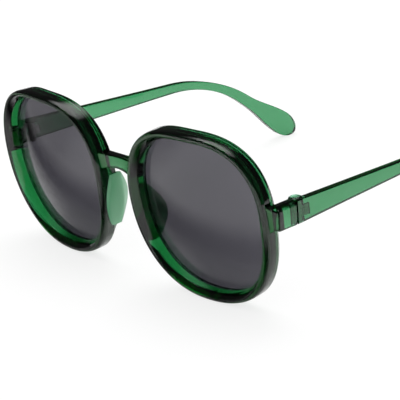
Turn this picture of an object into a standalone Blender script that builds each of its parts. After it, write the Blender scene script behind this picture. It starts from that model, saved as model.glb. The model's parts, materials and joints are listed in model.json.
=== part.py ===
"""Round sunglasses: a moulded front with dished rims, two lenses in its grooves, bonded nose pads,
and two temples that fold on three-knuckle hinges.

Everything is built about the front: x = 0 between the lenses, +Y towards the temple tips, +Z up, and y = 0 at
the lenses' centres. The last section stands the glasses on the table, on the rims and the temple tips.
"""
import math

import bmesh
import bpy
from mathutils import Matrix, Vector

MM = 0.001

# Lens opening: a squared-off circle, fuller at its upper corners
LENS_HALF_WIDTH = 27.1 * MM
LENS_HALF_HEIGHT = 26.4 * MM
OUTLINE_POWER = 2.5
SHOULDER_SHARE = 0.02
LENS_CENTRE_X = 39.5 * MM
LENS_BASE_RADIUS = 108.0 * MM
LENS_WRAP = math.radians(4.5)
LENS_LEAN = math.radians(5.0)

# Lens and the groove that holds it
LENS_THICKNESS = 1.4 * MM
LENS_SEAT = 0.85 * MM
LENS_CLEARANCE = 0.2 * MM
LENS_RING_SHARES = (0.35, 0.7, 1.0)
FRONT_LIP = 0.4 * MM
BACK_LIP = 0.6 * MM

# Rim section: a front ridge at the outer edge, dished down to the lens, and a wall that drafts inwards
RIDGE_RISE = 4.3 * MM
RIDGE_LAND = 1.3 * MM
RIDGE_EDGE = 0.7 * MM
RIM_EDGE = 0.45 * MM
ROUND_SHARE = 0.29
RIM_FRONT = {"nasal": 4.7 * MM, "temporal": 4.45 * MM, "top": 3.55 * MM, "bottom": 3.3 * MM}
RIM_BACK = {"nasal": 5.2 * MM, "temporal": 3.3 * MM, "top": 3.1 * MM, "bottom": 2.5 * MM}
CHEEK_RELIEF = 1.5 * MM
WALL_KNEE = 0.3 * MM
WALL_BULGE = 0.75 * MM
BULGE_ANGLE = math.radians(-35.0)
WALL_BACK = 2.3 * MM
RIM_STEPS = 72

# Bridge
BRIDGE_TOP_RISE = 13.7 * MM
BRIDGE_ARCH_RISE = 9.0 * MM
BRIDGE_ARCH_DROP = 2.4 * MM
BRIDGE_FRONT_SETBACK = 1.2 * MM
BRIDGE_FRONT_BOW = 1.3 * MM
BRIDGE_DEPTH = 4.6 * MM
BRIDGE_ROOT = 1.2 * MM
BRIDGE_EDGE = 0.5 * MM
BRIDGE_STEPS = 12

# End pieces, which reach back from the rims to the hinges
ARM_OUTER_X = 74.5 * MM
ARM_THICKNESS = 2.9 * MM
ARM_BELOW = 3.6 * MM
ARM_ABOVE = 4.9 * MM
ARM_TOP_FACET = 1.7 * MM
ARM_BACK_Y = 12.7 * MM
ARM_FRONT_Y = 4.0 * MM
ARM_FACET = 0.45 * MM
ARM_EDGE = 0.3 * MM
ROOT_SETBACK = 0.4 * MM
ROOT_SINK = 1.3 * MM
ROOT_REAR_SETBACK = 2.6 * MM
ROOT_LOW_ANGLE = math.radians(-4.0)
ROOT_HIGH_ANGLE = math.radians(24.0)
ROOT_STEPS = 8

# Hinge
HINGE_RISE = 5.0 * MM
AXIS_INSET = 0.3 * MM
AXIS_SETBACK = 2.6 * MM
BARREL_RADIUS = 1.35 * MM
BARREL_HEIGHT = 7.2 * MM
MIDDLE_KNUCKLE = 3.2 * MM
KNUCKLE_GAP = 0.12 * MM
LEAF_THICKNESS = 1.0 * MM
FRONT_LEAF_LENGTH = 1.3 * MM
FRONT_LEAF_HEIGHT = 6.0 * MM
TEMPLE_LEAF_LENGTH = 1.8 * MM
LEAF_CLEARANCE = 0.25 * MM
LEAF_START = 2.0 * MM
NECK_SINK = 0.3 * MM
NECK_LAP = 0.15 * MM
PIN_RADIUS = 0.6 * MM
PIN_CLEARANCE = 0.08 * MM
SCREW_HEAD_RADIUS = 0.95 * MM
SCREW_HEAD_HEIGHT = 0.6 * MM
SCREW_SLOT_WIDTH = 0.3 * MM
SCREW_SLOT_DEPTH = 0.22 * MM
ROUND_STEPS = 24

# Temples: a straight run, a bend over the ear and a paddle that comes down to the table
JOINT_GAP = 0.3 * MM
TEMPLE_THICKNESS = 2.8 * MM
TEMPLE_SPLAY = math.radians(3.8)
TEMPLE_SLOPE = math.radians(1.2)
TEMPLE_STRAIGHT = 64.5 * MM
TEMPLE_HEAD_RISE = 0.5 * MM
BEND_RADIUS = 54.9 * MM
BEND_ANGLE = math.radians(38.3)
HEAD_HEIGHT = 7.8 * MM
MIDDLE_HEIGHT = 5.8 * MM
MIDDLE_SHARE = 0.45
WAIST_HEIGHT = 4.0 * MM
WAIST_SHARE = 0.9
BEND_HEIGHT = 3.25 * MM
NECK_HEIGHT = 4.45 * MM
NECK_REACH = 2.3 * MM
PADDLE_HEIGHT = 9.3 * MM
TIP_LENGTH = 8.0 * MM
TEMPLE_EDGE = 0.35 * MM
CAP_RADIUS = 2.4 * MM
CAP_THICKNESS = 0.85 * MM
CAP_LAP = 0.3 * MM
CAP_EDGE = 1.0 * MM
CAP_STEPS = 4
TEMPLE_STEPS = 84
TIP_STEPS = 8

# Nose pads
PAD_TOP_ANGLE = math.radians(171.5)
PAD_BOTTOM_ANGLE = math.radians(208.7)
PAD_REACH = 9.15 * MM
PAD_ROOT_REACH = 3.3 * MM
PAD_FLARE = 4.2 * MM
PAD_ROOT_WIDTH = 2.3 * MM
PAD_NECK_WIDTH = 1.7 * MM
PAD_TIP_WIDTH = 1.1 * MM
PAD_TIP_ROUND = 0.3 * MM
PAD_BULGE = 0.75 * MM
PAD_TOP_LAP = 2.8 * MM
PAD_BOTTOM_LAP = 4.0 * MM
PAD_GAP = 0.2 * MM
PAD_SKEW_POWER = 1.1
PAD_SWELL_POWER = 0.75
PAD_STEPS = 18

# One overrun for all cuts
CUT = 1.0 * MM

# Edges sharper than these stay crisp in shading
CRISP_ANGLE = math.radians(35.0)
PAD_CRISP_ANGLE = math.radians(45.0)

SIDES = {"left": 1, "right": -1}


def material(name, colour, roughness, metallic=0.0, transmission=0.0):
    """A plain Principled material."""
    made = bpy.data.materials.new(name)
    made.use_nodes = True
    shader = made.node_tree.nodes["Principled BSDF"]
    shader.inputs["Base Color"].default_value = (*colour, 1.0)
    shader.inputs["Roughness"].default_value = roughness
    shader.inputs["Metallic"].default_value = metallic
    shader.inputs["Transmission Weight"].default_value = transmission
    made.diffuse_color = (*colour, 1.0)
    return made


def add_object(name, mesh_data, parent=None):
    made = bpy.data.objects.new(name, mesh_data)
    bpy.context.scene.collection.objects.link(made)
    made.parent = parent
    return made


def finish_mesh(name, work):
    """Turns a bmesh into a mesh of outward triangles, because a Boolean needs flat faces."""
    bmesh.ops.recalc_face_normals(work, faces=work.faces)
    bmesh.ops.triangulate(work, faces=work.faces)
    data = bpy.data.meshes.new(name)
    work.to_mesh(data)
    work.free()
    return data


def loft(name, loops, close_path=False):
    """Skins a row of closed loops of equal length. The ends are capped, or the last loop joins the first."""
    work = bmesh.new()
    rings = [[work.verts.new(point) for point in loop] for loop in loops]
    pairs = list(zip(rings, rings[1:]))
    if close_path:
        pairs.append((rings[-1], rings[0]))
    for near, far in pairs:
        for index in range(len(near)):
            after = (index + 1) % len(near)
            work.faces.new((near[index], near[after], far[after], far[index]))
    if not close_path:
        work.faces.new(rings[0])
        work.faces.new(rings[-1])
    return finish_mesh(name, work)


def box_mesh(name, low, high):
    """A box between two corners."""
    loops = [[(x, low[1], low[2]), (x, high[1], low[2]), (x, high[1], high[2]), (x, low[1], high[2])]
             for x in (low[0], high[0])]
    return loft(name, loops)


def cylinder_mesh(name, radius, low, high):
    """A cylinder on the z axis between two heights."""
    turns = [2 * math.pi * step / ROUND_STEPS for step in range(ROUND_STEPS)]
    loops = [[(radius * math.cos(turn), radius * math.sin(turn), z) for turn in turns] for z in (low, high)]
    return loft(name, loops)


def prism_mesh(name, outline, low, high):
    """A flat outline of (x, y) carried upright between two heights."""
    return loft(name, [[(x, y, z) for x, y in outline] for z in (low, high)])


def combine(target, tool_data, operation):
    """Applies a Boolean with a tool mesh that lies in the target's own space."""
    tool = add_object(target.name + "_tool", tool_data)
    tool.matrix_world = target.matrix_world
    change = target.modifiers.new("cut", "BOOLEAN")
    change.operation = operation
    change.object = tool
    evaluated = target.evaluated_get(bpy.context.evaluated_depsgraph_get())
    result = bpy.data.meshes.new_from_object(evaluated)
    target.modifiers.clear()
    target.data = result
    bpy.data.objects.remove(tool)


def smooth(target, angle=CRISP_ANGLE):
    target.data.shade_smooth()
    target.data.set_sharp_from_angle(angle=angle)


def curve_value(stations, place):
    """Smooth value at a place along a table of (place, value), by cubic Hermite pieces."""
    last = len(stations) - 1
    index = 0
    while index < last - 1 and place > stations[index + 1][0]:
        index += 1
    start, end = stations[index], stations[index + 1]
    before = stations[max(index - 1, 0)]
    after = stations[min(index + 2, last)]
    span = end[0] - start[0]
    slope_start = (end[1] - before[1]) / (end[0] - before[0])
    slope_end = (after[1] - start[1]) / (after[0] - start[0])
    t = (place - start[0]) / span
    return ((2 * t**3 - 3 * t**2 + 1) * start[1] + (t**3 - 2 * t**2 + t) * span * slope_start
            + (3 * t**2 - 2 * t**3) * end[1] + (t**3 - t**2) * span * slope_end)


# The front's own surface

def outline_radius(angle):
    """Distance from the lens centre to the opening's edge. Angle 0 points to the temple, a quarter turn up."""
    across = (abs(math.cos(angle)) / LENS_HALF_WIDTH) ** OUTLINE_POWER
    upright = (abs(math.sin(angle)) / LENS_HALF_HEIGHT) ** OUTLINE_POWER
    return (across + upright) ** (-1 / OUTLINE_POWER) * (1 + SHOULDER_SHARE * math.sin(3 * angle))


def front_point(side, out, up, depth, centre_z):
    """A point on one side of the front: out and up from the lens centre, and depth behind its curved surface."""
    back = (out * out + up * up) / (2 * LENS_BASE_RADIUS) + depth
    x = out * math.cos(LENS_WRAP) - back * math.sin(LENS_WRAP)
    y = out * math.sin(LENS_WRAP) + back * math.cos(LENS_WRAP)
    z = up * math.cos(LENS_LEAN) + y * math.sin(LENS_LEAN)
    y = y * math.cos(LENS_LEAN) - up * math.sin(LENS_LEAN)
    return Vector((side * (LENS_CENTRE_X + x), y, z + centre_z))


def width_at(widths, angle):
    """A rim width that passes smoothly from its side value to its top or bottom value."""
    sideways = widths["temporal"] if math.cos(angle) > 0 else widths["nasal"]
    upright = widths["top"] if math.sin(angle) > 0 else widths["bottom"]
    return math.cos(angle) ** 2 * sideways + math.sin(angle) ** 2 * upright


def back_width(angle):
    """The rim's width at its back, where the lower nasal quarter is relieved to clear the cheek."""
    relieved = math.cos(angle) < 0 and math.sin(angle) < 0
    return width_at(RIM_BACK, angle) - (CHEEK_RELIEF * math.sin(2 * angle) ** 2 if relieved else 0)


def groove():
    """The groove's front wall, back wall and depth."""
    back = FRONT_LIP + LENS_THICKNESS + 2 * LENS_CLEARANCE
    return FRONT_LIP, back, LENS_SEAT + LENS_CLEARANCE


def rim_section(angle):
    """The rim's section as (distance outside the opening, depth behind the lens surface)."""
    front = width_at(RIM_FRONT, angle)
    back = back_width(angle)
    groove_front, groove_back, groove_depth = groove()
    inner_back = groove_back + BACK_LIP
    knee = front + (back - front) * (WALL_KNEE + RIDGE_RISE) / (WALL_BACK + RIDGE_RISE)
    knee += WALL_BULGE * max(math.cos(angle - BULGE_ANGLE), 0)
    return [
        (0, 0),
        (front - RIDGE_LAND, -RIDGE_RISE),
        (front - RIDGE_EDGE, -RIDGE_RISE),
        (front - RIDGE_EDGE * ROUND_SHARE, -RIDGE_RISE + RIDGE_EDGE * ROUND_SHARE),
        (front, -RIDGE_RISE + RIDGE_EDGE),
        (knee, WALL_KNEE),
        (back, WALL_BACK - RIM_EDGE),
        (back - RIM_EDGE, WALL_BACK),
        (RIM_EDGE, inner_back),
        (0, inner_back - RIM_EDGE / 2),
        (0, groove_back),
        (groove_depth, groove_back),
        (groove_depth, groove_front),
        (0, groove_front),
    ]


def rim_point(side, angle, spot, centre_z):
    reach = outline_radius(angle) + spot[0]
    return front_point(side, reach * math.cos(angle), reach * math.sin(angle), spot[1], centre_z)


def rim_turns():
    return [2 * math.pi * step / RIM_STEPS for step in range(RIM_STEPS)]


# The rims rest on the table, so their lowest point sets the lens centres' height
LENS_CENTRE_Z = -min(rim_point(1, turn, spot, 0).z for turn in rim_turns() for spot in rim_section(turn))
HINGE_Z = LENS_CENTRE_Z + HINGE_RISE
AXIS_X = ARM_OUTER_X - ARM_THICKNESS - AXIS_INSET
AXIS_Y = ARM_BACK_Y + AXIS_SETBACK
BARREL_LOW = -BARREL_HEIGHT / 2
BARREL_HIGH = BARREL_HEIGHT / 2


def rim_mesh(side):
    """One rim: its section carried round the lens outline."""
    loops = [[rim_point(side, turn, spot, LENS_CENTRE_Z) for spot in rim_section(turn)] for turn in rim_turns()]
    return loft("rim", loops, close_path=True)


def bridge_mesh():
    """The saddle between the rims: flat on top, arched below and bowed back at its middle."""
    bridge_angle = math.pi - math.asin((BRIDGE_TOP_RISE + BRIDGE_ARCH_RISE) / 2 / LENS_HALF_HEIGHT)
    rim_x = rim_point(1, bridge_angle, (width_at(RIM_FRONT, bridge_angle), 0), LENS_CENTRE_Z).x
    half_span = rim_x + BRIDGE_ROOT
    ridge_y = rim_point(1, bridge_angle, (width_at(RIM_FRONT, bridge_angle), -RIDGE_RISE), LENS_CENTRE_Z).y
    loops = []
    for step in range(BRIDGE_STEPS + 1):
        x = half_span * (2 * step / BRIDGE_STEPS - 1)
        share = abs(x) / half_span
        front = ridge_y + BRIDGE_FRONT_SETBACK + BRIDGE_FRONT_BOW * (1 - share**2)
        back = front + BRIDGE_DEPTH - BRIDGE_FRONT_BOW * (1 - share**2)
        top = LENS_CENTRE_Z + BRIDGE_TOP_RISE
        low = LENS_CENTRE_Z + BRIDGE_ARCH_RISE - BRIDGE_ARCH_DROP * share**2
        loops.append([
            (x, front + BRIDGE_EDGE, low), (x, back - BRIDGE_EDGE, low), (x, back, low + BRIDGE_EDGE),
            (x, back, top - BRIDGE_EDGE), (x, back - BRIDGE_EDGE, top), (x, front + BRIDGE_EDGE, top),
            (x, front, top - BRIDGE_EDGE), (x, front, low + BRIDGE_EDGE),
        ])
    return loft("bridge", loops)


def arm_mesh(side):
    """The straight part of an end piece: its top falls away outwards and its lower outer face is faceted."""
    low = HINGE_Z - ARM_BELOW
    high = HINGE_Z + ARM_ABOVE
    outer = ARM_OUTER_X
    inner = outer - ARM_THICKNESS
    section = [(inner, low + ARM_EDGE), (inner + ARM_EDGE, low), (outer - ARM_FACET - ARM_EDGE, low),
               (outer - ARM_FACET, low + ARM_EDGE), (outer, (low + high) / 2), (outer, high - ARM_TOP_FACET),
               (inner + ARM_THICKNESS / 2, high), (inner + ARM_EDGE, high), (inner, high - ARM_EDGE)]
    loops = [[(side * x, y, z) for x, z in section] for y in (ARM_FRONT_Y, ARM_BACK_Y)]
    return loft("arm", loops)


def root_mesh(side):
    """The filleted root of an end piece.

    It starts inside the rim's ridge and wall between two angles, and narrows to the end piece's own section. The
    heights follow a quarter circle, so its upper and lower faces leave the rim as fillets.
    """
    low_end = (ARM_OUTER_X - ARM_FACET - ARM_EDGE, HINGE_Z - ARM_BELOW + ARM_EDGE)
    high_end = (ARM_OUTER_X - ARM_EDGE, HINGE_Z + ARM_ABOVE - ARM_TOP_FACET - ARM_EDGE)
    front_y = ARM_FRONT_Y - ARM_EDGE
    rear_y = rim_point(1, 0, (back_width(0), WALL_BACK), LENS_CENTRE_Z).y - ROOT_REAR_SETBACK
    rows = []
    for angle, (end_x, end_z) in ((ROOT_LOW_ANGLE, low_end), (ROOT_HIGH_ANGLE, high_end)):
        front_spot = (width_at(RIM_FRONT, angle) - RIDGE_LAND / 2, ROOT_SETBACK - RIDGE_RISE)
        back_spot = (back_width(angle) - ROOT_SINK, WALL_BACK - ARM_EDGE)
        rows.append((rim_point(1, angle, front_spot, LENS_CENTRE_Z), Vector((end_x, front_y, end_z))))
        rows.append((rim_point(1, angle, back_spot, LENS_CENTRE_Z), Vector((end_x, rear_y, end_z))))
    rows[2:] = rows[:1:-1]
    loops = []
    for step in range(ROOT_STEPS + 1):
        share = step / ROOT_STEPS
        spread = 1 - math.sqrt(1 - (1 - share) ** 2)
        loop = []
        for start, end in rows:
            point = start.lerp(end, share)
            loop.append((side * point.x, point.y, end.z + (start.z - end.z) * spread))
        loops.append(loop)
    return loft("root", loops)


def hinge_box(side, low, high):
    """A box in the front's frame whose corners are measured from one hinge's axis, x outwards."""
    corners = sorted((side * (AXIS_X + low[0]), side * (AXIS_X + high[0])))
    return box_mesh("pocket", (corners[0], AXIS_Y + low[1], HINGE_Z + low[2]),
                    (corners[1], AXIS_Y + high[1], HINGE_Z + high[2]))


def build_front(plastic):
    """Both rims, the bridge and the end pieces as one moulding, with a pocket for each hinge leaf."""
    front = add_object("front_frame", rim_mesh(1))
    front.data.materials.append(plastic)
    parts = [rim_mesh(-1), bridge_mesh()]
    for side in SIDES.values():
        parts += [root_mesh(side), arm_mesh(side)]
    for part in parts:
        combine(front, part, "UNION")
    half_height = FRONT_LEAF_HEIGHT / 2 + LEAF_CLEARANCE
    pocket_low = (-CUT, -AXIS_SETBACK - FRONT_LEAF_LENGTH - LEAF_CLEARANCE, -half_height)
    pocket_high = (AXIS_INSET + LEAF_THICKNESS + LEAF_CLEARANCE, 0, half_height)
    for side in SIDES.values():
        combine(front, hinge_box(side, pocket_low, pocket_high), "DIFFERENCE")
    smooth(front)
    return front


def build_lens(name, side, tint):
    """A curved lens, whose edge sits in the rim's groove."""
    front_depth = FRONT_LIP + LENS_CLEARANCE
    work = bmesh.new()
    faces = {}
    for depth in (front_depth, front_depth + LENS_THICKNESS):
        centre = work.verts.new(front_point(side, 0, 0, depth, LENS_CENTRE_Z))
        rings = []
        for share in LENS_RING_SHARES:
            ring = []
            for turn in rim_turns():
                reach = share * (outline_radius(turn) + LENS_SEAT)
                point = front_point(side, reach * math.cos(turn), reach * math.sin(turn), depth, LENS_CENTRE_Z)
                ring.append(work.verts.new(point))
            rings.append(ring)
        for index in range(RIM_STEPS):
            after = (index + 1) % RIM_STEPS
            work.faces.new((centre, rings[0][index], rings[0][after]))
            for inner, outer in zip(rings, rings[1:]):
                work.faces.new((inner[index], outer[index], outer[after], inner[after]))
        faces[depth] = rings[-1]
    front_edge, back_edge = faces.values()
    for index in range(RIM_STEPS):
        after = (index + 1) % RIM_STEPS
        work.faces.new((front_edge[index], front_edge[after], back_edge[after], back_edge[index]))
    lens = add_object(name, finish_mesh(name, work))
    lens.data.materials.append(tint)
    smooth(lens)
    return lens


def pad_section(angle, share):
    """A nose pad's section in the rim's (outside, depth) frame: it laps the wall and flares back from it."""
    swell = math.sin(math.pi * share**PAD_SKEW_POWER) ** PAD_SWELL_POWER
    front = width_at(RIM_FRONT, angle)
    back = back_width(angle)
    reach = PAD_ROOT_REACH + (PAD_REACH - PAD_ROOT_REACH) * swell
    bulge = PAD_TIP_WIDTH / 2 + (PAD_BULGE - PAD_TIP_WIDTH / 2) * swell
    behind = groove()[1] + BACK_LIP + PAD_GAP
    lap = WALL_BACK - PAD_TOP_LAP - (PAD_BOTTOM_LAP - PAD_TOP_LAP) * share
    draft = (back - front) / (WALL_BACK + RIDGE_RISE)
    seam = front + draft * (lap + RIDGE_RISE) + PAD_GAP
    wall = back + PAD_GAP
    tip = wall - PAD_FLARE * swell
    middle = (behind + reach) / 2
    drop = (wall - tip) / 2
    return [
        (seam, lap),
        (wall + bulge, lap + PAD_TIP_WIDTH / 2),
        (wall + bulge, behind),
        (wall + bulge - drop, middle),
        (tip + PAD_TIP_WIDTH / 2, reach),
        (tip, reach + PAD_TIP_ROUND),
        (tip - PAD_TIP_WIDTH / 2, reach),
        (wall - PAD_NECK_WIDTH - drop, middle),
        (wall - PAD_ROOT_WIDTH, behind),
        (wall, behind - PAD_GAP / 2),
    ]


def build_pad(name, side, plastic):
    """A nose pad: a fin bonded to the rim's nasal wall."""
    loops = []
    for step in range(PAD_STEPS + 1):
        share = step / PAD_STEPS
        angle = PAD_TOP_ANGLE + (PAD_BOTTOM_ANGLE - PAD_TOP_ANGLE) * share
        loops.append([rim_point(side, angle, spot, LENS_CENTRE_Z) for spot in pad_section(angle, share)])
    pad = add_object(name, loft(name, loops))
    pad.data.materials.append(plastic)
    smooth(pad, PAD_CRISP_ANGLE)
    return pad


# Temples and hinges, each built in its hinge's own frame: origin on the axis, +X outwards, +Y to the tip

def temple_path(run):
    """Centre and direction of a temple's side view at a run along it from the hinge."""
    arc = BEND_RADIUS * BEND_ANGLE
    along = min(run, TEMPLE_STRAIGHT)
    y = along * math.cos(TEMPLE_SLOPE)
    z = TEMPLE_HEAD_RISE - along * math.sin(TEMPLE_SLOPE)
    turn = min(max(run - TEMPLE_STRAIGHT, 0), arc) / BEND_RADIUS
    heading = TEMPLE_SLOPE + turn
    y += BEND_RADIUS * (math.sin(heading) - math.sin(TEMPLE_SLOPE))
    z += BEND_RADIUS * (math.cos(heading) - math.cos(TEMPLE_SLOPE))
    tail = max(run - TEMPLE_STRAIGHT - arc, 0)
    return y + tail * math.cos(heading), z - tail * math.sin(heading), heading


def temple_length():
    """The run whose rounded tip just touches the table."""
    arc = BEND_RADIUS * BEND_ANGLE
    y, z, heading = temple_path(TEMPLE_STRAIGHT + arc)
    lowest = math.hypot(TIP_LENGTH * math.sin(heading), PADDLE_HEIGHT / 2 * math.cos(heading))
    tail = (HINGE_Z + z - lowest) / math.sin(heading)
    return TEMPLE_STRAIGHT + arc + tail + TIP_LENGTH


def temple_height(run, length):
    """Height of the temple across its run: it narrows to the bend, swells to the paddle and ends in an ellipse."""
    arc = BEND_RADIUS * BEND_ANGLE
    neck = TEMPLE_STRAIGHT + arc + NECK_REACH
    if run < neck:
        return curve_value([
            (0, HEAD_HEIGHT),
            (TEMPLE_STRAIGHT * MIDDLE_SHARE, MIDDLE_HEIGHT),
            (TEMPLE_STRAIGHT * WAIST_SHARE, WAIST_HEIGHT),
            (TEMPLE_STRAIGHT + arc / 2, BEND_HEIGHT),
            (neck, NECK_HEIGHT),
        ], run)
    body = length - TIP_LENGTH
    share = min((run - neck) / (body - neck), 1)
    past = max(run - body, 0) / TIP_LENGTH
    height = NECK_HEIGHT + (PADDLE_HEIGHT - NECK_HEIGHT) * share**2 * (3 - 2 * share)
    return height * math.sqrt(max(1 - past**2, 0))


def temple_mesh(side):
    """A temple's body: its section carried along the side view."""
    start = -AXIS_SETBACK + JOINT_GAP
    length = temple_length()
    inner = AXIS_INSET
    outer = inner + TEMPLE_THICKNESS
    body = length - TIP_LENGTH
    runs = [start + (body - start) * step / TEMPLE_STEPS for step in range(TEMPLE_STEPS + 1)]
    runs += [body + TIP_LENGTH * math.sin(math.pi / 2 * step / TIP_STEPS) for step in range(1, TIP_STEPS)]
    loops = []
    for run in runs:
        y, z, heading = temple_path(max(run, 0))
        y += min(run, 0)
        half = temple_height(max(run, 0), length) / 2
        edge = min(TEMPLE_EDGE, half / 2)
        section = [(inner + edge, -half), (outer - edge, -half), (outer, edge - half), (outer, half - edge),
                   (outer - edge, half), (inner + edge, half), (inner, half - edge), (inner, edge - half)]
        loops.append([(side * x, y + rise * math.sin(heading), z + rise * math.cos(heading))
                      for x, rise in section])
    return loft("temple", loops)


def cap_mesh():
    """The low dome that roofs the hinge barrel."""
    roof = BARREL_HIGH + LEAF_CLEARANCE
    lifts = [math.pi / 2 * step / CAP_STEPS for step in range(CAP_STEPS + 1)]
    rings = [(CAP_RADIUS, roof - CAP_LAP)]
    rings += [(CAP_RADIUS - CAP_EDGE * (1 - math.cos(lift)), roof + CAP_THICKNESS * math.sin(lift)) for lift in lifts]
    turns = [2 * math.pi * step / ROUND_STEPS for step in range(ROUND_STEPS)]
    return loft("cap", [[(r * math.cos(turn), r * math.sin(turn), z) for turn in turns] for r, z in rings])


def build_temple(name, side, plastic, hinge):
    """A temple, with its dome over the hinge, a notch for the barrel and a pocket for the leaf."""
    temple = add_object(name, temple_mesh(side), hinge)
    temple.data.materials.append(plastic)
    temple.rotation_euler.z = side * TEMPLE_SPLAY
    bpy.context.view_layer.update()
    combine(temple, cap_mesh(), "UNION")
    notch = BARREL_RADIUS + LEAF_CLEARANCE
    quarter = [math.pi / 2 * step / (ROUND_STEPS // 4) for step in range(ROUND_STEPS // 4 + 1)]
    outline = [(-CAP_RADIUS - CUT, -AXIS_SETBACK - CUT), (notch, -AXIS_SETBACK - CUT)]
    outline += [(notch * math.cos(turn), notch * math.sin(turn)) for turn in quarter]
    outline += [(-CAP_RADIUS - CUT, notch)]
    outline = [(side * x, y) for x, y in outline]
    combine(temple, prism_mesh("notch", outline, BARREL_LOW - CUT, BARREL_HIGH + LEAF_CLEARANCE), "DIFFERENCE")
    xs = sorted((-side * CUT, side * (AXIS_INSET + LEAF_THICKNESS + LEAF_CLEARANCE)))
    half_height = MIDDLE_KNUCKLE / 2 + LEAF_CLEARANCE
    pocket_end = notch + TEMPLE_LEAF_LENGTH + LEAF_CLEARANCE
    combine(temple, box_mesh("pocket", (xs[0], 0, -half_height), (xs[1], pocket_end, half_height)), "DIFFERENCE")
    smooth(temple)
    return temple


def outer_knuckles():
    """Low and high ends of the front leaf's two knuckles."""
    inner_end = MIDDLE_KNUCKLE / 2 + KNUCKLE_GAP
    return [(BARREL_LOW, -inner_end), (inner_end, BARREL_HIGH)]


def build_leaf(name, side, spans, plate, height, steel, hinge):
    """A hinge leaf: a plate let into the plastic, with its knuckles rolled round the pin.

    plate gives the near and far ends of the plate along y, and spans the low and high end of each knuckle.
    """
    outer = AXIS_INSET + LEAF_THICKNESS
    xs = sorted((side * AXIS_INSET, side * outer))
    ys = sorted(plate)
    data = box_mesh(name, (xs[0], ys[0], -height / 2), (xs[1], ys[1], height / 2))
    leaf = add_object(name, data, hinge)
    leaf.data.materials.append(steel)
    bpy.context.view_layer.update()
    neck_end = plate[0] + math.copysign(NECK_SINK, plate[0])
    for low, high in spans:
        xs = sorted((-side * NECK_SINK, side * (outer - NECK_LAP)))
        ys = sorted((0, neck_end))
        neck = box_mesh("neck", (xs[0], ys[0], low), (xs[1], ys[1], high))
        combine(leaf, neck, "UNION")
        combine(leaf, cylinder_mesh("knuckle", BARREL_RADIUS, low, high), "UNION")
    bore = cylinder_mesh("bore", PIN_RADIUS + PIN_CLEARANCE, BARREL_LOW - CUT, BARREL_HIGH + CUT)
    combine(leaf, bore, "DIFFERENCE")
    return leaf


def build_screw(name, side, steel, hinge):
    """The hinge screw: its slotted head is let into the upper knuckle."""
    seat = BARREL_HIGH - SCREW_HEAD_HEIGHT
    screw = add_object(name, cylinder_mesh(name, PIN_RADIUS, BARREL_LOW, seat + SCREW_HEAD_HEIGHT / 2), hinge)
    screw.data.materials.append(steel)
    bpy.context.view_layer.update()
    combine(screw, cylinder_mesh("head", SCREW_HEAD_RADIUS, seat, BARREL_HIGH), "UNION")
    half = SCREW_SLOT_WIDTH / 2
    reach = SCREW_HEAD_RADIUS + CUT
    slot = box_mesh("slot", (-reach, -half, BARREL_HIGH - SCREW_SLOT_DEPTH), (reach, half, BARREL_HIGH + CUT))
    combine(screw, slot, "DIFFERENCE")
    smooth(screw)
    return screw


def add_empty(name, location, parent):
    made = add_object(name, None, parent)
    made.location = location
    bpy.context.view_layer.update()
    return made


def build():
    for old in list(bpy.data.objects):
        bpy.data.objects.remove(old)
    green = material("green_polycarbonate", (0.045, 0.32, 0.13), 0.08, transmission=0.9)
    smoke = material("smoke_lens", (0.035, 0.034, 0.037), 0.04, transmission=0.6)
    steel = material("hinge_steel", (0.55, 0.55, 0.54), 0.3, metallic=1.0)

    front = build_front(green)
    pieces = [front]
    hinges = []
    for word, side in SIDES.items():
        pieces.append(build_lens("lens_" + word, side, smoke))
        pieces.append(build_pad("nose_pad_" + word, side, green))
        hinge = add_empty("hinge_axis_" + word, (side * AXIS_X, AXIS_Y, HINGE_Z), None)
        hinges.append(hinge)
        build_temple("temple_" + word, side, green, hinge)
        plate = (-LEAF_START, -AXIS_SETBACK - FRONT_LEAF_LENGTH)
        front_leaf = build_leaf("hinge_front_leaf_" + word, side, outer_knuckles(), plate, FRONT_LEAF_HEIGHT,
                                steel, hinge)
        recess = SCREW_HEAD_HEIGHT + KNUCKLE_GAP
        well = cylinder_mesh("well", SCREW_HEAD_RADIUS + PIN_CLEARANCE, BARREL_HIGH - recess, BARREL_HIGH + CUT)
        combine(front_leaf, well, "DIFFERENCE")
        smooth(front_leaf)
        near = BARREL_RADIUS + LEAF_CLEARANCE
        temple_leaf = build_leaf("hinge_temple_leaf_" + word, side, [(-MIDDLE_KNUCKLE / 2, MIDDLE_KNUCKLE / 2)],
                                 (near, near + TEMPLE_LEAF_LENGTH), MIDDLE_KNUCKLE, steel, hinge)
        temple_leaf.rotation_euler.z = side * TEMPLE_SPLAY
        smooth(temple_leaf)
        build_screw("hinge_screw_" + word, side, steel, hinge)

    # The glasses stand with the middle of their footprint at the origin
    bpy.context.view_layer.update()
    corners = [made.matrix_world @ Vector(corner) for made in bpy.data.objects if made.type == "MESH"
               for corner in made.bound_box]
    middle_y = (min(corner.y for corner in corners) + max(corner.y for corner in corners)) / 2
    floor_z = min(corner.z for corner in corners)
    for made in pieces + hinges:
        made.matrix_world = Matrix.Translation((0, -middle_y, -floor_z)) @ made.matrix_world
    bpy.context.view_layer.update()


build()
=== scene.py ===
import json
import math

import bmesh
import bpy
import numpy as np
from mathutils import Matrix, Vector


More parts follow.
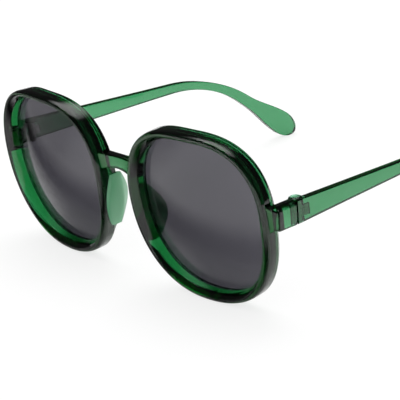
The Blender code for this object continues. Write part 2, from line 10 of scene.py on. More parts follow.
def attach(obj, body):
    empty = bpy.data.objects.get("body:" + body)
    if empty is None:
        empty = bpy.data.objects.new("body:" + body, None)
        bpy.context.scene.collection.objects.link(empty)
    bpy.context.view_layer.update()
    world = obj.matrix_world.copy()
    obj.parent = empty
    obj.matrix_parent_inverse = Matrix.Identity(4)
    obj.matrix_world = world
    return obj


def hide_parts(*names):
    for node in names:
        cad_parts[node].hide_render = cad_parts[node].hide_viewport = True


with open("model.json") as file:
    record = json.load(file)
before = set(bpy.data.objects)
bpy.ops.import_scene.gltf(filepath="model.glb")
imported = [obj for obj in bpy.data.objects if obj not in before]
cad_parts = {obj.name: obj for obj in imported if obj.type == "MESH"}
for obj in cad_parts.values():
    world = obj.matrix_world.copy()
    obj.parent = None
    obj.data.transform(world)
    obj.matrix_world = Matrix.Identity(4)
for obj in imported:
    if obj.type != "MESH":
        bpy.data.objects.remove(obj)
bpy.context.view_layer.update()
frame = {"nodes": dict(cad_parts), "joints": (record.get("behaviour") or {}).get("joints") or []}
mm = 0.001


# The tabletop and the studio: a sheet of matt white card under a large softbox, with white paper all round.
# Mirrored rays alone see the room dark but for a soft glow above, which gives clear plastic its dark edges,
# and for them painted shade in the card's colour in front of the lenses stands in for black studio boards.

def linear(code):
    """An sRGB hex colour as linear red, green, blue and an alpha of 1."""
    parts = [int(code[index:index + 2], 16) / 255 for index in (1, 3, 5)]
    bright = [part / 12.92 if part <= 0.04045 else ((part + 0.055) / 1.055) ** 2.4 for part in parts]
    return (*bright, 1.0)


def add_node(tree, kind, links=None, **settings):
    """Adds a node. A setting named like one of the node's properties sets it, and links feed its inputs."""
    made = tree.nodes.new(kind)
    for name, value in settings.items():
        setattr(made, name, value)
    for name, value in (links or {}).items():
        socket = made.inputs[name] if isinstance(name, int) else next(
            item for item in made.inputs if item.name == name and item.enabled)
        if isinstance(value, bpy.types.NodeSocket):
            tree.links.new(value, socket)
        else:
            socket.default_value = value
    return made


def new_material(name):
    """An empty node material and its output node."""
    made = bpy.data.materials.new(name)
    made.use_nodes = True
    made.node_tree.nodes.clear()
    return made, add_node(made.node_tree, "ShaderNodeOutputMaterial")


TABLE_WHITE = "#f4f4f4"
# Dark grey painted into the card's colour as shade that mirrored rays see.
TABLE_PAINTED_SHADE = "#303030"
TABLE_GLOW = 0.75
TABLE_HALF = 2.5
SHADE_START = -60 * mm
SHADE_FULL = -85 * mm
SHADE_LIFT = -94 * mm
SHADE_END = -118 * mm
# Painted shade past the band: lighter, and deeper along a slanted line towards the wearer's right.
PAINTED_SHADE_SLANT = -0.6
PAINTED_SHADE_SLANT_START = 0 * mm
PAINTED_SHADE_SLANT_FULL = -60 * mm
FAR_PAINTED_SHADE = (0.15, 0.65)
# The least painted shade, for rays mirrored inside plastic.
INSIDE_PAINTED_SHADE = 0.25

# Matt card scatters light evenly. For the camera, most of its white is light of its own, so that it is as
# white as the paper behind it and still shows shadows. For mirrored rays a band of shade is painted into
# its colour before the lenses: it starts at SHADE_START, is full from SHADE_FULL to SHADE_LIFT, and past
# SHADE_END only a lighter painted shade is left, which deepens along a slanted line towards the wearer's
# right. Rays that have gone through plastic too find at least the painted inside shade everywhere.
table_material, table_out = new_material("matt white card")
tree = table_material.node_tree
place = add_node(tree, "ShaderNodeSeparateXYZ", {0: add_node(tree, "ShaderNodeTexCoord").outputs["Object"]})
painted_shade_near = add_node(tree, "ShaderNodeMapRange", {
    "Value": place.outputs["Y"], "From Min": SHADE_START, "From Max": SHADE_FULL})
slanted = add_node(tree, "ShaderNodeMath", {0: place.outputs["Y"], 1: PAINTED_SHADE_SLANT, 2: place.outputs["X"]},
                   operation="MULTIPLY_ADD")
painted_far_shade = add_node(tree, "ShaderNodeMapRange", {
    "Value": slanted.outputs[0], "From Min": PAINTED_SHADE_SLANT_START, "From Max": PAINTED_SHADE_SLANT_FULL, "To Min": FAR_PAINTED_SHADE[0],
    "To Max": FAR_PAINTED_SHADE[1]})
painted_shade_far = add_node(tree, "ShaderNodeMapRange", {
    "Value": place.outputs["Y"], "From Min": SHADE_END, "From Max": SHADE_LIFT,
    "To Min": painted_far_shade.outputs[0]})
painted_shade_band = add_node(tree, "ShaderNodeMath", {0: painted_shade_near.outputs[0], 1: painted_shade_far.outputs[0]},
                      operation="MULTIPLY")
light_path = add_node(tree, "ShaderNodeLightPath")
mirrored = add_node(tree, "ShaderNodeMath", {0: light_path.outputs["Glossy Depth"], 1: 0.5},
                    operation="GREATER_THAN").outputs[0]
through = add_node(tree, "ShaderNodeMath", {0: light_path.outputs["Transmission Depth"], 1: 0.5},
                   operation="GREATER_THAN").outputs[0]
inside = add_node(tree, "ShaderNodeMath", {0: mirrored, 1: through}, operation="MULTIPLY").outputs[0]
outer_share = add_node(tree, "ShaderNodeMath", {0: painted_shade_band.outputs[0], 1: mirrored}, operation="MULTIPLY")
inner_share = add_node(tree, "ShaderNodeMath", {0: inside, 1: INSIDE_PAINTED_SHADE}, operation="MULTIPLY")
painted_shade_share = add_node(tree, "ShaderNodeMath", {0: outer_share.outputs[0], 1: inner_share.outputs[0]},
                        operation="MAXIMUM")
# Painted shade: the card's colour goes towards the dark grey by this share, for mirrored rays only.
card = add_node(tree, "ShaderNodeMix", {"Factor": painted_shade_share.outputs[0], "A": linear(TABLE_WHITE),
                                        "B": linear(TABLE_PAINTED_SHADE)}, data_type="RGBA")
table_paint = add_node(tree, "ShaderNodeBsdfDiffuse", {"Color": card.outputs[2]})
table_light = add_node(tree, "ShaderNodeEmission", {"Color": (1, 1, 1, 1), "Strength": 1.0})
table_seen = add_node(tree, "ShaderNodeMath", {0: light_path.outputs["Is Camera Ray"], 1: TABLE_GLOW},
                      operation="MULTIPLY")
table_face = add_node(tree, "ShaderNodeMixShader", {0: table_seen.outputs[0], 1: table_paint.outputs[0],
                                                    2: table_light.outputs[0]})
tree.links.new(table_face.outputs[0], table_out.inputs["Surface"])
table_mesh = bpy.data.meshes.new("table")
table_corners = [(TABLE_HALF * x, TABLE_HALF * y, 0) for x, y in ((-1, -1), (1, -1), (1, 1), (-1, 1))]
table_mesh.from_pydata(table_corners, [], [(0, 1, 2, 3)])
table_mesh.materials.append(table_material)
table = bpy.data.objects.new("table", table_mesh)
bpy.context.scene.collection.objects.link(table)

# The photograph's viewpoint, found from its perspective.
CAMERA_PLACE = Vector((478.6, -414.63, 240.98)) * mm
CAMERA_BACK = Vector((0.7348, -0.5847, 0.3437))
CAMERA_UP = Vector((-0.2018, 0.2953, 0.9338))
CAMERA_LENS = 166.56

camera_data = bpy.data.cameras.new("camera")
camera_data.lens = CAMERA_LENS
camera_data.sensor_width = 36
camera_data.clip_end = 10
camera = bpy.data.objects.new("camera", camera_data)
back = CAMERA_BACK.normalized()
right = CAMERA_UP.cross(back).normalized()
turned = Matrix((right, back.cross(right), back)).transposed()
camera.matrix_world = Matrix.Translation(CAMERA_PLACE) @ turned.to_4x4()
bpy.context.scene.collection.objects.link(camera)
bpy.context.scene.camera = camera

SOFTBOX_SIDE = 0.9
SOFTBOX_POWER = 7.0
SOFTBOX_PLACE = Vector((-0.35, 0.25, 1.1))
light_data = bpy.data.lights.new("softbox", "AREA")
light_data.energy = SOFTBOX_POWER
light_data.size = SOFTBOX_SIDE
softbox = bpy.data.objects.new("softbox", light_data)
softbox.location = SOFTBOX_PLACE
softbox.rotation_euler = SOFTBOX_PLACE.to_track_quat("Z", "Y").to_euler()
softbox.visible_glossy = False
bpy.context.scene.collection.objects.link(softbox)

# The white paper all round. It is plain white for the camera, a little less through plastic, and fills the
# shadows.
FILL_LIGHT = 0.95
ROOM_DARK = 0.04
THROUGH_LIGHT = 0.85
GLOW_LIGHT = 2.5
GLOW_TOWARDS = Vector((-0.3, 0.2, 0.93)).normalized()
GLOW_EDGE = math.cos(math.radians(30))
GLOW_FULL = math.cos(math.radians(8))
world = bpy.data.worlds.new("studio")
bpy.context.scene.world = world
world.use_nodes = True
tree = world.node_tree
tree.nodes.clear()
direction = add_node(tree, "ShaderNodeTexCoord").outputs["Generated"]
facing = add_node(tree, "ShaderNodeVectorMath", {0: direction, 1: GLOW_TOWARDS}, operation="DOT_PRODUCT")
glow = add_node(tree, "ShaderNodeMapRange", {
    "Value": facing.outputs["Value"], "From Min": GLOW_EDGE, "From Max": GLOW_FULL, "To Min": ROOM_DARK,
    "To Max": GLOW_LIGHT}, interpolation_type="SMOOTHSTEP")
path = add_node(tree, "ShaderNodeLightPath")
mirrored = add_node(tree, "ShaderNodeMath", {0: path.outputs["Glossy Depth"], 1: 0.5},
                    operation="GREATER_THAN")
paper_light = add_node(tree, "ShaderNodeMapRange", {
    "Value": path.outputs["Is Camera Ray"], "To Min": THROUGH_LIGHT, "To Max": 1.0})
room = add_node(tree, "ShaderNodeBackground", {"Color": (1, 1, 1, 1), "Strength": glow.outputs[0]})
paper = add_node(tree, "ShaderNodeBackground", {"Color": (1, 1, 1, 1), "Strength": paper_light.outputs[0]})
fill = add_node(tree, "ShaderNodeBackground", {"Color": (1, 1, 1, 1), "Strength": FILL_LIGHT})
clear = add_node(tree, "ShaderNodeMixShader", {0: mirrored.outputs[0], 1: paper.outputs[0],
                                               2: room.outputs[0]})
seen = add_node(tree, "ShaderNodeMixShader", {0: path.outputs["Is Diffuse Ray"], 1: clear.outputs[0],
                                              2: fill.outputs[0]})
add_node(tree, "ShaderNodeOutputWorld", {"Surface": seen.outputs[0]})
bpy.context.scene.view_settings.view_transform = "Standard"


# The front: one injection moulding in clear green polycarbonate, which its mould leaves polished. Each rim
# is dished from a raised ridge down to its lens, and the bridge and the two end pieces grow out of the
# rims' walls. The inner side of each end piece has an open pocket for its hinge leaf.

AXIS = next(Vector(joint["pos_m"]) for joint in frame["joints"] if joint["child"] == "temple_left")
HINGE_RISE = 5.0 * mm
AXIS_SETBACK = 2.6 * mm
ARM_BACK = 12.7 * mm
ARM_OUTER = 74.5 * mm
ARM_THICKNESS = 2.9 * mm
CENTRE = Vector((39.5 * mm, AXIS.y - AXIS_SETBACK - ARM_BACK, AXIS.z - HINGE_RISE))

HALF_WIDTH = 27.1 * mm
HALF_HEIGHT = 26.4 * mm
OUTLINE_POWER = 2.5
SHOULDER_SHARE = 0.02
BASE_RADIUS = 108 * mm
WRAP = math.radians(4.5)
LEAN = math.radians(5.0)

LENS_THICKNESS = 1.4 * mm
LENS_SEAT = 0.85 * mm
LENS_CLEARANCE = 0.2 * mm
FRONT_LIP = 0.4 * mm
BACK_LIP = 0.6 * mm
GROOVE_BACK = FRONT_LIP + LENS_THICKNESS + 2 * LENS_CLEARANCE
RIDGE_RISE = 4.3 * mm
RIDGE_LAND = 1.8 * mm
STEP_RISE = 1.9 * mm
STEP_OUT = 0.3 * mm
RIM_FRONT = {"nasal": 4.7 * mm, "temporal": 4.45 * mm, "top": 3.55 * mm, "bottom": 3.3 * mm}
RIM_BACK = {"nasal": 5.2 * mm, "temporal": 3.3 * mm, "top": 3.1 * mm, "bottom": 2.5 * mm}
CHEEK_RELIEF = 1.5 * mm
WALL_KNEE = 0.3 * mm
WALL_BULGE = 0.75 * mm
BULGE_ANGLE = math.radians(-35)
WALL_BACK = 2.3 * mm
SQUARE_START = math.radians(208)
SQUARE_FULL = math.radians(216)
SQUARE_END = math.radians(270)

LIP_ROUND = 0.2 * mm
STEP_ROUND = 0.4 * mm
RIDGE_INNER_ROUND = 1.0 * mm
RIDGE_OUTER_ROUND = 1.8 * mm
KNEE_ROUND = 0.25 * mm
BACK_ROUND = 0.5 * mm
BACK_LIP_ROUND = 0.4 * mm
GROOVE_ROUND = 0.04 * mm


def outline_radius(angle):
    """The lens opening's radius: a superellipse of power 2.5, raised at three shoulders by sin(3 angle)."""
    across = (np.abs(np.cos(angle)) / HALF_WIDTH) ** OUTLINE_POWER
    upright = (np.abs(np.sin(angle)) / HALF_HEIGHT) ** OUTLINE_POWER
    return (across + upright) ** (-1 / OUTLINE_POWER) * (1 + SHOULDER_SHARE * np.sin(3 * angle))


def front_points(side, out, up, depth):
    """Points given out and up from a lens centre, and depth behind a bowl of the lens's base radius.

    The bowl is turned by the wrap about the upright and leaned by the lean about the sideways axis.
    """
    behind = (out * out + up * up) / (2 * BASE_RADIUS) + depth
    x = out * math.cos(WRAP) - behind * math.sin(WRAP)
    y = out * math.sin(WRAP) + behind * math.cos(WRAP)
    z = up * math.cos(LEAN) + y * math.sin(LEAN)
    y = y * math.cos(LEAN) - up * math.sin(LEAN)
    return np.stack((side * (CENTRE.x + x), CENTRE.y + y, CENTRE.z + z), axis=-1)


def width_at(widths, angle):
    """A rim's width: cos squared times the side's plus sin squared times the top's or bottom's."""
    sideways = np.where(np.cos(angle) > 0, widths["temporal"], widths["nasal"])
    upright = np.where(np.sin(angle) > 0, widths["top"], widths["bottom"])
    return np.cos(angle) ** 2 * sideways + np.sin(angle) ** 2 * upright


def back_width(angle):
    """The rim's width at its back. The lower nasal quarter clears the cheek by sin(2 angle) squared times
    the relief."""
    relieved = (np.cos(angle) < 0) & (np.sin(angle) < 0)
    return width_at(RIM_BACK, angle) - CHEEK_RELIEF * np.where(relieved, np.sin(2 * angle) ** 2, 0)


CORNER_SHARE = 0.47


def round_corners(points, cuts, steps=4):
    """Replaces each corner of closed outlines (..., corner, axis) by a quadratic curve that starts and ends
    a cut's length from it, or nearly half the edge where that is shorter."""
    before = np.roll(points, 1, axis=-2) - points
    after = np.roll(points, -1, axis=-2) - points
    length_before = np.linalg.norm(before, axis=-1, keepdims=True)
    length_after = np.linalg.norm(after, axis=-1, keepdims=True)
    cut = np.asarray(cuts)[..., None]
    start = points + before / length_before * np.minimum(cut, CORNER_SHARE * length_before)
    end = points + after / length_after * np.minimum(cut, CORNER_SHARE * length_after)
    share = np.linspace(0, 1, steps)[:, None]
    curve = ((1 - share) ** 2 * start[..., None, :] + 2 * share * (1 - share) * points[..., None, :]
             + share ** 2 * end[..., None, :])
    return curve.reshape(points.shape[:-2] + (-1, points.shape[-1]))


def grid_mesh(name, points, ring=False):
    """A mesh from rows of closed loops (row, place, xyz). The last row joins the first if it is a ring, and
    otherwise the two end loops are capped."""
    rows, places = points.shape[:2]
    index = np.arange(rows * places).reshape(rows, places)
    upper = np.roll(index, -1, axis=0) if ring else index[1:]
    lower = index if ring else index[:-1]
    quads = np.stack((lower, np.roll(lower, -1, axis=1), np.roll(upper, -1, axis=1), upper), axis=-1)
    faces = quads.reshape(-1, 4).tolist()
    if not ring:
        faces += [index[0][::-1].tolist(), index[-1].tolist()]
    data = bpy.data.meshes.new(name)
    data.from_pydata(points.reshape(-1, 3).tolist(), [], faces)
    work = bmesh.new()
    work.from_mesh(data)
    bmesh.ops.recalc_face_normals(work, faces=work.faces)
    work.to_mesh(data)
    work.free()
    return data


def add_piece(name, data, material):
    """A mesh as a piece at the origin, with its material."""
    made = bpy.data.objects.new(name, data)
    bpy.context.scene.collection.objects.link(made)
    data.materials.append(material)
    return made


def combine(target, tools, operation):
    """Applies a Boolean with each tool mesh in turn."""
    for data in tools:
        tool = bpy.data.objects.new("tool", data)
        bpy.context.scene.collection.objects.link(tool)
        change = target.modifiers.new("combine", "BOOLEAN")
        change.operation = operation
        change.object = tool
        evaluated = target.evaluated_get(bpy.context.evaluated_depsgraph_get())
        result = bpy.data.meshes.new_from_object(evaluated)
        target.modifiers.clear()
        target.data = result
        bpy.data.objects.remove(tool)


def box_mesh(name, low, high):
    """A closed box: the rectangle of y and z at the lower x, joined to the same one at the higher x."""
    rectangle = ((low[1], low[2]), (high[1], low[2]), (high[1], high[2]), (low[1], high[2]))
    return grid_mesh(name, np.array([[(x, y, z) for y, z in rectangle] for x in (low[0], high[0])]))


def shade(piece, angle=32):
    """Shades a piece smooth, but keeps edges sharp where faces turn by more than the angle in degrees."""
    piece.data.shade_smooth()
    piece.data.set_sharp_from_angle(angle=math.radians(angle))


def fine_relief(tree, size, depth):
    """Noise with features of the given size: its height from 0 to 1, and the normal of a relief of that
    depth."""
    place = add_node(tree, "ShaderNodeTexCoord").outputs["Object"]
    noise = add_node(tree, "ShaderNodeTexNoise", {"Vector": place, "Scale": 1 / size, "Detail": 1.0})
    relief = add_node(tree, "ShaderNodeBump", {
        "Height": noise.outputs[0], "Strength": 1.0, "Distance": depth})
    return noise.outputs[0], relief.outputs[0]


NOISE_LOW = 0.3
NOISE_HIGH = 0.7


def dyed_plastic(name, bend, dye, density, shadow, gloss, flow, face_colour=(1, 1, 1, 1), clearness=1.0):
    """Clear plastic with its dye in the depth: light fades exponentially along its way, by the density
    times what the dye's colour lacks of white. Bend is the refractive index, shadow the shadow's colour,
    gloss the roughness of the best and worst polished spots, flow the size and depth of the waves in the
    face, and clearness the share of light that goes in."""
    made, out = new_material(name)
    tree = made.node_tree
    height, relief = fine_relief(tree, *flow)
    polish = add_node(tree, "ShaderNodeMapRange", {
        "Value": height, "From Min": NOISE_LOW, "From Max": NOISE_HIGH, "To Min": gloss[0],
        "To Max": gloss[1]})
    face = add_node(tree, "ShaderNodeBsdfPrincipled", {
        "Base Color": face_colour, "Roughness": polish.outputs[0], "IOR": bend,
        "Transmission Weight": clearness, "Normal": relief})
    light_path = add_node(tree, "ShaderNodeLightPath")
    veil = add_node(tree, "ShaderNodeBsdfTransparent", {"Color": linear(shadow)})
    surface = add_node(tree, "ShaderNodeMixShader", {
        0: light_path.outputs["Is Shadow Ray"], 1: face.outputs[0], 2: veil.outputs[0]})
    depth = add_node(tree, "ShaderNodeVolumeAbsorption", {"Color": linear(dye), "Density": density})
    tree.links.new(surface.outputs[0], out.inputs["Surface"])
    tree.links.new(depth.outputs[0], out.inputs["Volume"])
    return made


PLASTIC_BEND = 1.58
PLASTIC_DYE = "#67d3a8"
PLASTIC_SHADOW = "#b4dcc2"

# Moulded against polished steel: near-mirror gloss in waves about 4 mm wide, as the cooling melt leaves
# them, and a green that deepens with the thickness the eye looks through.
polished_green = dyed_plastic("mould-polished green polycarbonate", bend=PLASTIC_BEND, dye=PLASTIC_DYE,
                              density=1250, shadow=PLASTIC_SHADOW, gloss=(0.01, 0.04),
                              flow=(4 * mm, 0.004 * mm))


def rim_loops(side, steps=240):
    """The rim's section at each turn round the lens, as a reach outside the opening and a depth behind the
    bowl: dish, ridge, wall, back and lens groove. The wall's knee is on the line from ridge to back, out by
    the bulge times the cosine from its middle, and straight behind the ridge below the pads."""
    turn = np.linspace(0, 2 * np.pi, steps, endpoint=False)
    front = width_at(RIM_FRONT, turn)
    rear = back_width(turn)
    none = np.zeros_like(turn)
    knee = front + (rear - front) * (WALL_KNEE + RIDGE_RISE) / (WALL_BACK + RIDGE_RISE)
    knee += WALL_BULGE * np.maximum(np.cos(turn - BULGE_ANGLE), 0)
    below_pad = np.clip((turn - SQUARE_START) / (SQUARE_FULL - SQUARE_START), 0, 1) * (turn < SQUARE_END)
    knee += below_pad * (front - knee)
    depth = LENS_SEAT + LENS_CLEARANCE
    corners = [
        (none, none, LIP_ROUND),
        (none + STEP_OUT, none - STEP_RISE, STEP_ROUND),
        (front - RIDGE_LAND, none - RIDGE_RISE, RIDGE_INNER_ROUND),
        (front, none - RIDGE_RISE, RIDGE_OUTER_ROUND),
        (knee, none + WALL_KNEE, KNEE_ROUND),
        (rear, none + WALL_BACK, BACK_ROUND),
        (none, none + GROOVE_BACK + BACK_LIP, BACK_LIP_ROUND),
        (none, none + GROOVE_BACK, GROOVE_ROUND),
        (none + depth, none + GROOVE_BACK, GROOVE_ROUND),
        (none + depth, none + FRONT_LIP, GROOVE_ROUND),
        (none, none + FRONT_LIP, GROOVE_ROUND),
    ]
    outline = np.stack([np.stack((out, behind), axis=-1) for out, behind, cut in corners], axis=-2)
    section = round_corners(outline, [cut for out, behind, cut in corners])
    reach = outline_radius(turn)[:, None] + section[..., 0]
    return front_points(side, reach * np.cos(turn)[:, None], reach * np.sin(turn)[:, None], section[..., 1])


BRIDGE_TOP = 13.7 * mm
BRIDGE_ARCH = 9.0 * mm
ARCH_DROP = 2.4 * mm
BRIDGE_SETBACK = 1.2 * mm
BRIDGE_BOW = 1.3 * mm
BRIDGE_DEPTH = 4.6 * mm
BRIDGE_ROOT = 1.2 * mm
BRIDGE_EDGE = 0.7 * mm


def wall_point(angle, width, behind):
    """A point on the left rim, width outside the opening and behind its surface."""
    reach = outline_radius(angle) + width
    return front_points(1, reach * np.cos(angle), reach * np.sin(angle), behind)


def bridge_loops():
    """The bridge's sections from rim to rim. Its top is flat, its underside falls by the drop times the
    share of the half span squared, and its front is bowed back by a parabola."""
    angle = math.pi - math.asin((BRIDGE_TOP + BRIDGE_ARCH) / 2 / HALF_HEIGHT)
    ridge = wall_point(angle, width_at(RIM_FRONT, angle), -RIDGE_RISE)
    half_span = wall_point(angle, width_at(RIM_FRONT, angle), 0)[0] + BRIDGE_ROOT
    share = np.linspace(-1, 1, 41)
    front = ridge[1] + BRIDGE_SETBACK + BRIDGE_BOW * (1 - share ** 2)
    rear = front + BRIDGE_DEPTH - BRIDGE_BOW * (1 - share ** 2)
    top = CENTRE.z + BRIDGE_TOP + 0 * share
    low = CENTRE.z + BRIDGE_ARCH - ARCH_DROP * share ** 2
    corners = np.stack([np.stack((share * half_span, y, z), axis=-1)
                        for y, z in ((front, low), (rear, low), (rear, top), (front, top))], axis=-2)
    return round_corners(corners, np.full(4, BRIDGE_EDGE), 6)


ARM_BELOW = 3.6 * mm
ARM_ABOVE = 4.9 * mm
ARM_TOP_FACET = 1.7 * mm
ARM_FACET = 0.45 * mm
ARM_EDGE = 0.3 * mm
ARM_FACET_EDGE = 0.15 * mm
ARM_CROWN_EDGE = 0.5 * mm
ARM_FRONT = 5.4 * mm
ROOT_SETBACK = 1.2 * mm
ROOT_SINK = 1.3 * mm
ROOT_REAR_SETBACK = 0.4 * mm
ROOT_LOW = math.radians(-4)
ROOT_HIGH = math.radians(24)


def arm_loops(side):
    """An end piece's straight run back to the hinge: one section with a falling top and a faceted outer
    side, at the run's front and back."""
    low, high = AXIS.z - ARM_BELOW, AXIS.z + ARM_ABOVE
    outer, inner = ARM_OUTER, ARM_OUTER - ARM_THICKNESS
    outline = np.array([(inner, low), (outer - ARM_FACET, low), (outer, (low + high) / 2),
                        (outer, high - ARM_TOP_FACET), ((inner + outer) / 2, high), (inner, high)])
    section = round_corners(outline, (ARM_EDGE, ARM_EDGE, ARM_FACET_EDGE, ARM_EDGE, ARM_CROWN_EDGE, ARM_EDGE))
    ends = [np.stack((side * section[:, 0], np.full(len(section), CENTRE.y + y), section[:, 1]), axis=-1)
            for y in (ARM_FRONT, ARM_BACK)]
    return np.stack(ends)


def root_loops(side):
    """The end piece's root. It starts inside the rim's ridge and wall, between the low and the high angle,
    and narrows along a quarter circle to the end piece's own section."""
    low_end = (ARM_OUTER - ARM_FACET - ARM_EDGE, AXIS.z - ARM_BELOW + ARM_EDGE)
    high_end = (ARM_OUTER - ARM_EDGE, AXIS.z + ARM_ABOVE - ARM_TOP_FACET - ARM_EDGE)
    rear = wall_point(0.0, RIM_BACK["temporal"], WALL_BACK)[1] - ROOT_REAR_SETBACK
    front = CENTRE.y + ARM_FRONT - ARM_EDGE
    share = np.linspace(0, 1, 25)[:, None]
    corners = []
    for angle, end, behind in ((ROOT_LOW, low_end, False), (ROOT_LOW, low_end, True),
                               (ROOT_HIGH, high_end, True), (ROOT_HIGH, high_end, False)):
        if behind:
            start = wall_point(angle, back_width(angle) - ROOT_SINK, WALL_BACK - ARM_EDGE)
        else:
            start = wall_point(angle, width_at(RIM_FRONT, angle) - RIDGE_LAND / 2, ROOT_SETBACK - RIDGE_RISE)
        finish = np.array((end[0], rear if behind else front, end[1]))
        corner = start + (finish - start) * share
        corner[:, 2] = finish[2] + (start[2] - finish[2]) * (1 - np.sqrt(1 - (1 - share[:, 0]) ** 2))
        corners.append(corner * (side, 1, 1))
    return round_corners(np.stack(corners, axis=-2), np.full(4, ARM_EDGE))


LEAF_DEPTH = 1.55 * mm
LEAF_REACH = 1.55 * mm
LEAF_HALF = 3.25 * mm
CUT = 1 * mm

front = add_piece("front_moulding", grid_mesh("front_moulding", rim_loops(1), ring=True), polished_green)
joined = [grid_mesh("rim", rim_loops(-1), ring=True), grid_mesh("bridge", bridge_loops())]
pockets = []
for side in (1, -1):
    joined += [grid_mesh("root", root_loops(side)), grid_mesh("arm", arm_loops(side))]
    xs = sorted((side * (AXIS.x - CUT), side * (AXIS.x + LEAF_DEPTH)))
    pocket_end = AXIS.y - AXIS_SETBACK
    pockets.append(box_mesh("pocket", (xs[0], pocket_end - LEAF_REACH, AXIS.z - LEAF_HALF),
                            (xs[1], pocket_end + CUT, AXIS.z + LEAF_HALF)))
combine(front, joined, "UNION")
combine(front, pockets, "DIFFERENCE")
shade(front)
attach(front, "front")
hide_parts("front_frame")


# The lenses: cast grey acrylic, 1.4 mm thick, dyed through, formed to the front's base curve and snapped
# into its grooves. They float in the groove by its clearance, and show the temples and hinges behind them.

# Cast against glass and wiped with a cloth: a face as smooth as the glass, under a breath of haze in
# patches about 9 mm wide, over a grey with a little violet in it.
smoke = dyed_plastic("cast grey acrylic with wiping haze", bend=1.49, dye="#4b4461", density=1800,
                     shadow="#616063", gloss=(0.0, 0.02), flow=(9 * mm, 0.001 * mm))

POLE_SHARE = 0.04


def lens_mesh(side, steps=192, rings=20):
    """A bowl of even thickness. Each ring is a share of the opening's radius plus the seat, from the pole
    to the edge on the front face and back again on the rear face."""
    turn = np.linspace(0, 2 * np.pi, steps, endpoint=False)
    share = np.linspace(POLE_SHARE, 1, rings)
    edge = outline_radius(turn) + LENS_SEAT
    depth = FRONT_LIP + LENS_CLEARANCE
    loops = []
    for shares, behind in ((share, depth), (share[::-1], depth + LENS_THICKNESS)):
        reach = shares[:, None] * edge
        loops.append(front_points(side, reach * np.cos(turn), reach * np.sin(turn), behind))
    return grid_mesh("lens", np.concatenate(loops))


for word, side in (("left", 1), ("right", -1)):
    lens = add_piece("tinted_lens_" + word, lens_mesh(side), smoke)
    shade(lens)
    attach(lens, "front")
    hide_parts("lens_" + word)


# The nose pads: two fins of the same green polycarbonate, moulded apart and bonded to the rims' nasal
# walls. A bright seam shows round each where it laps over the wall.

PAD_TOP = math.radians(171.5)
PAD_BOTTOM = math.radians(208.7)
PAD_REACH = 9.15 * mm
PAD_ROOT_REACH = 3.3 * mm
PAD_FLARE = 4.2 * mm
PAD_ROOT = 2.3 * mm
PAD_NECK = 1.7 * mm
PAD_TIP = 1.1 * mm
PAD_BULGE = 0.75 * mm
PAD_END_LAP = 2.8 * mm
PAD_LAP = 5.6 * mm
PAD_GAP = 0.2 * mm
PAD_SKEW_POWER = 1.1
PAD_SWELL_POWER = 0.75
PAD_ROUNDS = np.array((0.1, 0.6, 1.5, 3, 0.4, 0.4, 3, 0.3, 0.05)) * mm
PAD_SHARP = 40


def pad_loops(side, steps=64):
    """The pad's sections down the rim: a hook that laps over the wall, and a fin that reaches back and
    flares outwards. Both grow out of small ends by a swell, the sine of the share of the way down, with a
    power on each."""
    share = np.linspace(0, 1, steps)
    turn = PAD_TOP + (PAD_BOTTOM - PAD_TOP) * share
    swell = np.maximum(np.sin(np.pi * share**PAD_SKEW_POWER), 0) ** PAD_SWELL_POWER
    front, back = width_at(RIM_FRONT, turn), back_width(turn)
    lap = WALL_BACK - PAD_END_LAP - (PAD_LAP - PAD_END_LAP) * swell
    seam = front + (back - front) * (lap + RIDGE_RISE) / (WALL_BACK + RIDGE_RISE) + PAD_GAP
    wall = back + PAD_GAP
    reach = PAD_ROOT_REACH + (PAD_REACH - PAD_ROOT_REACH) * swell
    bulge = PAD_TIP / 2 + (PAD_BULGE - PAD_TIP / 2) * swell
    tip = wall - PAD_FLARE * swell
    behind = GROOVE_BACK + BACK_LIP + PAD_GAP + 0 * share
    middle = (behind + reach) / 2
    drop = (wall - tip) / 2
    corners = [
        (seam, lap), (wall + bulge, lap + PAD_TIP / 2), (wall + bulge, behind), (wall + bulge - drop, middle),
        (tip + PAD_TIP / 2, reach), (tip - PAD_TIP / 2, reach), (wall - PAD_NECK - drop, middle),
        (wall - PAD_ROOT, behind), (wall, behind - PAD_GAP / 2),
    ]
    outline = np.stack([np.stack(corner, axis=-1) for corner in corners], axis=-2)
    section = round_corners(outline, PAD_ROUNDS)
    out = outline_radius(turn)[:, None] + section[..., 0]
    return front_points(side, out * np.cos(turn)[:, None], out * np.sin(turn)[:, None], section[..., 1])


# Moulded against blasted steel: a soft satin face that holds some of the light in a paler green. Its grain
# is really under a tenth of a millimetre, too fine to show in the render, so it is drawn 1.2 mm wide and
# very shallow.
satin_green = dyed_plastic("satin-moulded green polycarbonate", bend=PLASTIC_BEND, dye=PLASTIC_DYE,
                           density=700, shadow=PLASTIC_SHADOW, gloss=(0.3, 0.4),
                           flow=(1.2 * mm, 0.0008 * mm), face_colour=linear("#84d4a4"), clearness=0.6)

for word, side in (("left", 1), ("right", -1)):
    pad = add_piece("moulded_pad_" + word, grid_mesh("pad", pad_loops(side)), satin_green)
    shade(pad, PAD_SHARP)
    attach(pad, "front")
    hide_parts("nose_pad_" + word)


# The temples: each is one moulding in the same plastic, a flat arm that narrows to the ear bend and widens
# to a paddle. A low dome on its head roofs the hinge barrel, which sits in a notch on the inner side, and
# the hinge's screw holds it to the front.

